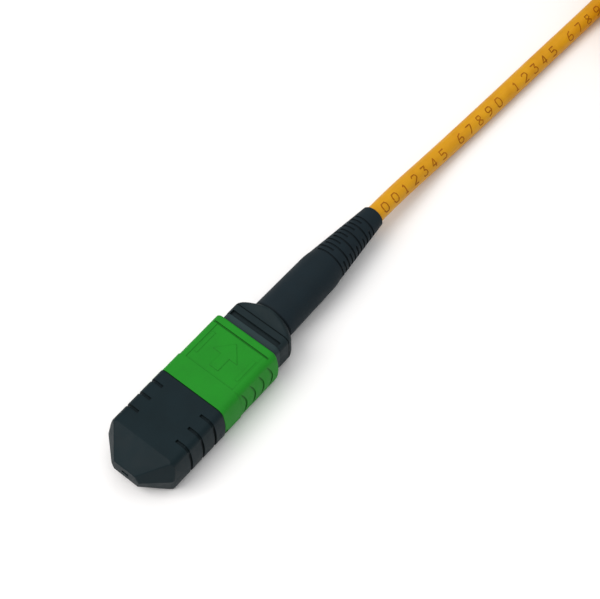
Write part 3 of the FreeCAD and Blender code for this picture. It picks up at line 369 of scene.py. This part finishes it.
# ------------------------------------------------------------------ materials
class Nodes:
    """Short names for building a node tree."""

    def __init__(self, name):
        self.m = bpy.data.materials.new(name)
        self.m.use_nodes = True
        self.t = self.m.node_tree
        self.bsdf = self.t.nodes["Principled BSDF"]
        self.coord = self.t.nodes.new("ShaderNodeTexCoord").outputs["Object"]

    def node(self, kind, **values):
        n = self.t.nodes.new(kind)
        for k, v in values.items():
            if hasattr(n, k):
                setattr(n, k, v)
            else:
                n.inputs[k].default_value = v
        return n

    def link(self, a, b):
        self.t.links.new(a, b)

    def noise(self, scale, detail=3.0, rough=0.5, vector=None):
        n = self.node("ShaderNodeTexNoise")
        n.inputs["Scale"].default_value = scale
        n.inputs["Detail"].default_value = detail
        n.inputs["Roughness"].default_value = rough
        self.link(vector or self.coord, n.inputs["Vector"])
        return n.outputs["Fac"]

    def stretch(self, x, y, z):
        n = self.node("ShaderNodeMapping")
        n.inputs["Scale"].default_value = (x, y, z)
        self.link(self.coord, n.inputs["Vector"])
        return n.outputs["Vector"]

    def ramp(self, value, low, high, a, b):
        n = self.node("ShaderNodeMapRange")
        for k, v in (("From Min", low), ("From Max", high), ("To Min", a), ("To Max", b)):
            n.inputs[k].default_value = v
        self.link(value, n.inputs["Value"])
        return n.outputs["Result"]

    def mix(self, fac, a, b, blend="MIX"):
        n = self.node("ShaderNodeMix", data_type="RGBA", blend_type=blend)
        self.feed(fac, n.inputs[0])
        self.feed(a, n.inputs[6])
        self.feed(b, n.inputs[7])
        return n.outputs[2]

    def feed(self, value, socket):
        if isinstance(value, bpy.types.NodeSocket):
            self.link(value, socket)
        elif isinstance(value, (tuple, list)):
            socket.default_value = (*value, 1.0) if len(value) == 3 else value
        else:
            socket.default_value = value

    def math(self, how, a, b=0.0):
        n = self.node("ShaderNodeMath", operation=how)
        self.feed(a, n.inputs[0])
        self.feed(b, n.inputs[1])
        return n.outputs[0]

    def bevel(self, radius):
        n = self.node("ShaderNodeBevel", samples=4)
        n.inputs["Radius"].default_value = radius
        return n.outputs["Normal"]

    def painted_shade(self, distance, low):
        """1 on open faces, falling to low in narrow gaps and grooves: painted shade, from ambient occlusion, for the
        shadow that falls there.
        """
        n = self.node("ShaderNodeAmbientOcclusion", samples=8)
        n.inputs["Distance"].default_value = distance
        return self.ramp(n.outputs["AO"], 0.35, 0.95, low, 1.0)

    def bump(self, height, strength, distance, normal=None):
        n = self.node("ShaderNodeBump")
        n.inputs["Strength"].default_value = strength
        n.inputs["Distance"].default_value = distance
        self.link(height, n.inputs["Height"])
        if normal is not None:
            self.link(normal, n.inputs["Normal"])
        return n.outputs["Normal"]

    def done(self, colour, rough, normal=None, **shader):
        self.feed(colour, self.bsdf.inputs["Base Color"])
        self.feed(rough, self.bsdf.inputs["Roughness"])
        if normal is not None:
            self.link(normal, self.bsdf.inputs["Normal"])
        for k, v in shader.items():
            self.bsdf.inputs[k.replace("_", " ")].default_value = v
        return self.m


def scaled(colour, k):
    return tuple(c * k for c in colour)


def moulded(name, colour, rough=0.5, grain=0.35, spread=0.10, bevel=0.00012, specular=0.5, grain_scale=7000.0, crevice_shade=0.45):
    """Injection-moulded plastic: fine spark-eroded grain, a little mottling from the melt's flow,
    softened edges, and painted shade darkening its gaps and grooves."""
    n = Nodes(name)
    cloud = n.noise(260.0, 4.0, 0.6)
    flow = n.noise(900.0, 3.0, 0.5, n.stretch(1.0, 0.25, 1.0))
    speck = n.noise(grain_scale * 0.8, 2.0, 0.5)
    base = n.mix(n.ramp(cloud, 0.35, 0.65, 0.0, 1.0), scaled(colour, 1.0 - spread), scaled(colour, 1.0 + spread))
    base = n.mix(n.ramp(flow, 0.4, 0.75, 0.0, 0.35), base, scaled(colour, 1.0 + 1.2 * spread))
    base = n.mix(n.ramp(speck, 0.55, 0.75, 0.0, 0.25), base, scaled(colour, 1.35))
    # painted shade: the base colour is multiplied darker in gaps, grooves and seams by ambient occlusion
    base = n.mix(1.0, base, n.painted_shade(0.0006, crevice_shade), "MULTIPLY")
    grain_height = n.noise(grain_scale, 3.0, 0.65)
    worn = n.noise(520.0, 3.0, 0.6)
    roughness = n.ramp(worn, 0.3, 0.7, rough - 0.06, rough + 0.07)
    normal = n.bump(grain_height, grain, 0.00002, n.bevel(bevel))
    return n.done(base, roughness, normal, Specular_IOR_Level=specular)


def metal(name, colour, rough, stretch=(1.0, 0.02, 1.0)):
    n = Nodes(name)
    lines = n.noise(9000.0, 2.0, 0.5, n.stretch(*stretch))
    stain = n.noise(600.0, 3.0, 0.6)
    base = n.mix(n.ramp(stain, 0.35, 0.7, 0.0, 1.0), scaled(colour, 0.85), scaled(colour, 1.05))
    return n.done(base, n.ramp(lines, 0.3, 0.7, rough - 0.08, rough + 0.1), n.bump(lines, 0.25, 0.00001), Metallic=1.0)


def jacket(name, colour, print_shade):
    """Extruded cord jacket: satin, with faint draw lines and blotches, and a lay that
    shows through as a slow wave."""
    n = Nodes(name)
    blotch = n.noise(330.0, 4.0, 0.6)
    lines = n.noise(5200.0, 2.0, 0.5, n.stretch(1.0, 0.03, 1.0))
    base = n.mix(n.ramp(blotch, 0.32, 0.7, 0.0, 1.0), colour, print_shade)
    base = n.mix(n.ramp(lines, 0.45, 0.8, 0.0, 0.22), base, scaled(colour, 0.72))
    height = n.math("ADD", n.math("MULTIPLY", lines, 0.4), n.noise(700.0, 3.0, 0.5))
    return n.done(
        base, n.ramp(blotch, 0.3, 0.7, 0.42, 0.56), n.bump(height, 0.3, 0.00004),
        Specular_IOR_Level=0.2,
    )


def tape(name, colour):
    """Hook-and-loop tape: a felt of fine loops."""
    n = Nodes(name)
    fuzz = n.noise(6500.0, 5.0, 0.75)
    rows = n.node("ShaderNodeTexVoronoi")
    rows.inputs["Scale"].default_value = 3200.0
    n.link(n.coord, rows.inputs["Vector"])
    height = n.math("ADD", fuzz, n.math("MULTIPLY", rows.outputs["Distance"], -0.8))
    base = n.mix(n.ramp(fuzz, 0.35, 0.7, 0.0, 1.0), scaled(colour, 0.6), scaled(colour, 1.7))
    return n.done(base, 0.9, n.bump(height, 0.9, 0.00012), Sheen_Weight=0.35)


FINISH = {
    "cap_plastic": moulded("cap_plastic", (0.0066, 0.0150, 0.0187), rough=0.52, grain=0.45, spread=0.09, specular=0.09),
    "green_plastic": moulded("green_plastic", (0.0115, 0.218, 0.0132), rough=0.6, grain=0.22, spread=0.05, specular=0.14),
    "dark_plastic": moulded("dark_plastic", (0.0195, 0.0365, 0.0400), rough=0.6, grain=0.25, spread=0.08, specular=0.15),
    "boot_rubber": moulded("boot_rubber", (0.0074, 0.0150, 0.0200), rough=0.7, grain=0.5, spread=0.10, bevel=0.0001, specular=0.14),
    # post_plastic: a darker copy of dark_plastic, painted shade on the rear body
    "post_plastic": moulded("post_plastic", (0.0104, 0.0195, 0.0225), rough=0.6, grain=0.25, spread=0.08, specular=0.11, crevice_shade=0.5),
    "soft_rubber": moulded("soft_rubber", (0.03, 0.03, 0.032), rough=0.7, grain=0.5, spread=0.1),
    "ferrule_plastic": moulded("ferrule_plastic", (0.035, 0.03, 0.027), rough=0.35, grain=0.5, spread=0.2, grain_scale=12000.0),
    "fibre_glass": moulded("fibre_glass", (0.45, 0.55, 0.62), rough=0.25, grain=0.1, spread=0.1),
    "yarn": moulded("yarn", (0.75, 0.6, 0.2), rough=0.75, grain=1.0, spread=0.25),
    "steel": metal("steel", (0.62, 0.61, 0.6), 0.25),
    "brass_sleeve": metal("brass_sleeve", (0.72, 0.55, 0.28), 0.32),
    "cord_jacket": jacket("cord_jacket", (0.645, 0.312, 0.0065), (0.575, 0.255, 0.0045)),
    "tie_tape": tape("tie_tape", (0.012, 0.012, 0.013)),
}
SLOTS = {s["node"]: s["material_slot"] for s in frame["record"]["subparts"]}
for name, obj in NODES.items():
    obj.data.materials.clear()
    # the rear body gets a darker copy of the housing's plastic: painted shade for its rear-leaning faces and recessed
    # neck
    finish = "post_plastic" if name.endswith("back_post") else SLOTS[name]
    obj.data.materials.append(FINISH[finish])
cable.data.materials.append(FINISH["cord_jacket"])

# the springs sit between their seats: each is copied in place as a plain mesh, and the original is hidden
for pre in ("", "far_"):
    for node, body in (
        ("coupling_spring_left", "outer_shell"), ("coupling_spring_right", "outer_shell"), ("ferrule_spring", "ferrule"),
    ):
        source = NODES[pre + node]
        mesh = source.data.copy()
        mesh.transform(source.matrix_world)
        wire = bpy.data.objects.new(pre + node + "_wire", mesh)
        bpy.context.scene.collection.objects.link(wire)
        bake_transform(wire)
        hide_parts(pre + node)


PRINT = moulded("print_ink", (0.32, 0.098, 0.003), rough=0.6, grain=0.2, spread=0.2, specular=0.12, crevice_shade=1.0)
marks = jacket_marks(
    "0012345 67890 12345 6789 01 2345678 901 23456 7890123 456 78901 2345 ", 0.0041, cable_length - 0.004,
    0.00250, 0.00155, 0.00105, 0.00021, math.radians(34),
)
marks.data.materials.append(PRINT)
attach(marks, BODY)

half = 3.0
side_tie = tie("side_tie", (HANK_X + 10.7, 120.0), "y", 0, half + 0.01, 0.4, 9.4, 6.0)
end_tie = tie("end_tie", (HANK_X, FAR + 10.3), "x", 0, half + 0.44, 0.4, 9.4, 6.0)
for o, n in ((side_tie, "hank_tie_side"), (end_tie, "hank_tie_end")):
    o.data.materials.append(FINISH["tie_tape"])
    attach(o, BODY)
    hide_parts(n)

bpy.context.view_layer.update()
